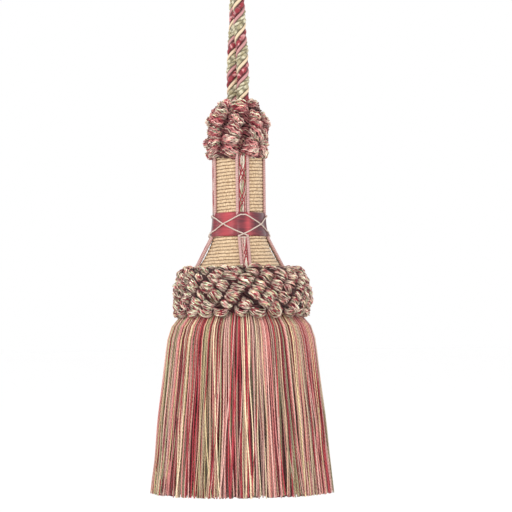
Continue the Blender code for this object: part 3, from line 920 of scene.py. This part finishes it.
def waist_band():
    """A ribbon's flat grid, laid round the waist over the strips, with its thickness from Solidify."""
    rows = 15
    angles = np.arange(BAND_TURNS) * math.tau / BAND_TURNS
    rise = np.linspace(0, 1, rows)
    heights = BAND_TOP + (BAND_BOTTOM - BAND_TOP) * rise
    a, z = np.meshgrid(angles, heights, indexing="ij")
    roll = 0.25 * MM * (np.exp(-((rise / 0.07) ** 2)) + np.exp(-(((1 - rise) / 0.07) ** 2)))
    buckle = 0.10 * MM * np.sin(3 * a + 260 * z) * np.sin(math.pi * rise)[None]
    points = around(band_radius(a, z) - roll[None] + buckle, a, z)
    index = np.arange(BAND_TURNS * rows).reshape(BAND_TURNS, rows)
    after = np.roll(index, -1, axis=0)
    quads = np.stack([index[:, :-1], index[:, 1:], after[:, 1:], after[:, :-1]], axis=-1).reshape(-1, 4)
    mesh = bpy.data.meshes.new("satin_ribbon")
    mesh.from_pydata(points.reshape(-1, 3).tolist(), [], quads.tolist())
    # Painted sheen: soft patches of light round the band, with a small ripple, kept as the satin's "depth" value.
    sheen = 0.0
    for middle, spread, strength in PAINTED_SHEEN_PATCHES:
        away = (np.degrees(a) - middle + 180) % 360 - 180
        sheen = sheen + strength * np.exp(-((away / spread) ** 2))
    keep_values(mesh, "depth", np.clip(sheen + 0.06 * np.sin(3 * a + 300 * z), 0, 1))
    mesh.shade_smooth()
    band = piece("satin_ribbon", mesh, satin_finish(), "red_satin", "waist_band")
    wall = band.modifiers.new("thickness", "SOLIDIFY")
    wall.thickness = 0.35 * MM
    wall.offset = -1.0


LACE_TOP = BAND_TOP - 1.1 * MM
LACE_BOTTOM = BAND_BOTTOM - 0.1 * MM
LACE_FLAT = math.radians(5)  # half the turn over a strip's top
LACE_HOOK = math.radians(9.5)  # half the turn under a strip's foot


def lace_line(first_at_top):
    """One thread's way round, from the back: (angle, height, lift from the satin) at each bend."""
    bends = []
    for k in range(2, 2 + STRIP_COUNT + 1):
        strip = STRIP_TURN + k * math.tau / STRIP_COUNT
        if (k % 2 == 0) == first_at_top:
            bends += [(strip - LACE_FLAT, LACE_TOP, 0.0), (strip + LACE_FLAT, LACE_TOP, 0.0)]
        else:
            hook = ((1.0, 0.0, 0.0), (0.7, -0.55, -0.7), (-0.7, -0.55, -0.7), (-1.0, 0.0, 0.0))
            bends += [(strip + LACE_HOOK * turn, LACE_BOTTOM + low * MM, out * MM) for turn, low, out in hook]
    way = np.vstack([np.linspace(one, two, 26, endpoint=False) for one, two in zip(bends, bends[1:])])
    angle, height, lift = np.vstack([way, bends[-1:]]).T
    climbing = np.gradient(height) > 1e-7
    away = from_strip(angle)
    on_panel = np.exp(-(((np.abs(away) - math.pi / 4) / 0.12) ** 2))
    at_foot = np.exp(-((away / 0.07) ** 2)) * (height < (LACE_TOP + LACE_BOTTOM) / 2)
    lift = lift + 0.55 * MM * (on_panel + at_foot) * climbing
    soft = np.array((1, 4, 6, 4, 1)) / 16
    lift = np.convolve(np.pad(lift, 2, "edge"), soft, "valid")
    return around(band_radius(angle, height) + LACE / 2 + lift, angle, height)


def lacing():
    """Two pale threads zigzag over the band: they cross on each panel, and hook under the strips' feet."""
    # The second colour is the painted shade between the turns.
    pale = wrapped_finish("pale_thread", colour(244, 226, 214), colour(192, 168, 152), 1.6)
    mesh = yarn_mesh("lacing_threads", [lace_line(True)], LACE / 2, 8)
    piece("lacing_one", mesh, pale, "pale_thread", "lacing_under")
    mesh = yarn_mesh("lacing_threads", [lace_line(False)], LACE / 2, 8)
    piece("lacing_two", mesh, pale, "pale_thread", "lacing_over")


# Skirt

SKIRT_CHANCE = np.random.default_rng(2)
SKIRT_OUTLINE = (
    # (radius mm, height mm), the outside of the hanging yarn
    (22.0, -156.5),
    (24.6, -159.6),
    (27.4, -162.0),
    (29.3, -165.2),
    (30.6, -169.4),
    (31.5, -176.0),
    (33.0, -189.2),
    (34.6, -202.5),
    (35.7, -215.7),
    (36.9, -226.5),
    (37.5, -232.6),
)
SKIRT_ASIDE = 0.4 * MM
SKIRT_LAYERS = (
    # (yarns, inset mm, yarn radius mm, painted light that darkens the deeper layers, how much they drift in locks)
    (190, 0.3, 0.25, 1.25, 1.0),
    (210, 0.8, 0.26, 1.15, 0.9),
    (220, 1.5, 0.30, 0.86, 0.5),
    (250, 2.2, 0.44, 0.44, 0.15),
    (260, 3.0, 0.62, 0.34, 0.0),
)
LOCKS = 9


def colour_groups():
    """The colours round the skirt: yarns of one colour lie together, two to five at a time."""
    shares = np.array([share for share, _ in SKIRT_TONES])
    starts = np.cumsum(shares) - shares
    edges, tones = [0.0], []
    last = -1
    while edges[-1] < math.tau:
        pick = int(SKIRT_CHANCE.choice(len(shares), p=shares / shares.sum()))
        if pick == last:
            continue
        last = pick
        tones.append(starts[pick] + shares[pick] / 2)
        edges.append(edges[-1] + SKIRT_CHANCE.uniform(0.4, 1.6) / 34)
    return np.array(edges[1:]), np.array(tones)


def locks(angle, down):
    """How far neighbouring yarns drift together, in radians, growing towards the hem."""
    drift = 0
    for k, (waves, phase, bend) in enumerate(LOCK_WAVES):
        drift = drift + 0.30 / waves * np.sin(waves * angle + phase + 0.5 * np.sin(bend * down)) * down**1.5
    return drift


LOCK_WAVES = [
    (int(SKIRT_CHANCE.integers(13, 90)), SKIRT_CHANCE.uniform(0, math.tau), SKIRT_CHANCE.uniform(1, 4))
    for _ in range(LOCKS)
]


def skirt():
    profile, _ = spread_evenly([(r * MM, z * MM) for r, z in SKIRT_OUTLINE], 16)
    down = np.linspace(0, 1, len(profile))
    edges, tones = colour_groups()
    for number, (yarns, inset, thick, lit, loose) in enumerate(SKIRT_LAYERS):
        lines, tints, depths = [], [], []
        for i in range(yarns):
            angle = math.tau * (i + SKIRT_CHANCE.uniform(-0.4, 0.4)) / yarns
            a, b, c, d = SKIRT_CHANCE.uniform(-1, 1, 4)
            sway = loose * locks(angle, down) + 0.022 * a * down + 0.012 * b * np.sin(5.5 * down + 3 * c) * down
            sway = sway + loose * ((0.12 * d**5 + 0.03 * d) * down**1.5 + 0.010 * np.sin(9 * down + 6 * a + 4 * b) * down)
            deep = inset * MM + 0.4 * MM * (c + np.sin(5 * down + 3 * a)) * down
            short = 1.5 * MM * abs(a) ** 1.5 * down**8 - 0.3 * MM * down
            lines.append(around(profile[:, 0] - deep, angle + sway, profile[:, 1] + short) + (SKIRT_ASIDE, 0, 0))
            group = tones[np.searchsorted(edges, angle % math.tau) % len(tones)]
            tints.append(group if SKIRT_CHANCE.random() < 0.45 else SKIRT_CHANCE.choice(tones))
            # Painted shade for the layer, times a random tone for each yarn.
            depths.append(lit * SKIRT_CHANCE.uniform(0.6, 1.18))
        mesh = yarn_mesh(f"skirt_yarns_{number + 1}", lines, thick * MM, 5, tints=tints, depths=depths)
        piece(f"skirt_yarns_{number + 1}", mesh, SKIRT_FINISH, "skirt_yarn", "skirt")


SKIRT_FINISH = skirt_finish()


# Stage, light and camera


def stage():
    bpy.ops.object.select_all(action="DESELECT")
    bpy.ops.mesh.primitive_circle_add(vertices=96, radius=14.0, fill_type="NGON", location=(0, 0, -0.30))
    floor = bpy.context.object
    floor.name = "floor"
    paint = Finish("pale_floor", roughness=0.9)
    floor.data.materials.append(paint.done(colour(255, 255, 255)))

    world = bpy.data.worlds.new("studio")
    bpy.context.scene.world = world
    world.use_nodes = True
    sky = world.node_tree.nodes["Background"]
    sky.inputs["Color"].default_value = (1.0, 1.0, 1.0, 1.0)
    sky.inputs["Strength"].default_value = 1.0
    bpy.context.scene.view_settings.view_transform = "Standard"

    for name, place, power, size in (
        ("key", (-0.55, -1.2, 0.55), 5.0, 0.7),
        ("fill", (1.1, -0.9, 0.1), 1.0, 0.9),
    ):
        lamp = bpy.data.lights.new(name, "AREA")
        lamp.energy = power
        lamp.size = size
        lamp_object = bpy.data.objects.new(name, lamp)
        bpy.context.scene.collection.objects.link(lamp_object)
        lamp_object.location = place
        lamp_object.rotation_euler = (Vector((0, 0, -0.15)) - Vector(place)).to_track_quat("-Z", "Y").to_euler()


def camera():
    """Level with the lower ruff and turned up a little, its axis a little right of the tassel, and rolled."""
    distance = 0.9
    eye = Vector((6.8 * MM, -distance, -166 * MM))
    aim = Vector((6.8 * MM, 0.0, -135.4 * MM))
    data = bpy.data.cameras.new("camera")
    data.sensor_width = 36.0
    data.lens = 36.0 * distance / (512 * 0.414 * MM)
    data.clip_start = 0.01
    made = bpy.data.objects.new("camera", data)
    bpy.context.scene.collection.objects.link(made)
    made.location = eye
    level = (aim - eye).to_track_quat("-Z", "Y").to_matrix()
    made.rotation_euler = (level @ Matrix.Rotation(math.radians(-0.58), 3, "Z")).to_euler()
    bpy.context.scene.camera = made


camera()
hanging_cord()
ruffs()
wrapped_head()
strips()
waist_band()
lacing()
skirt()
stage()
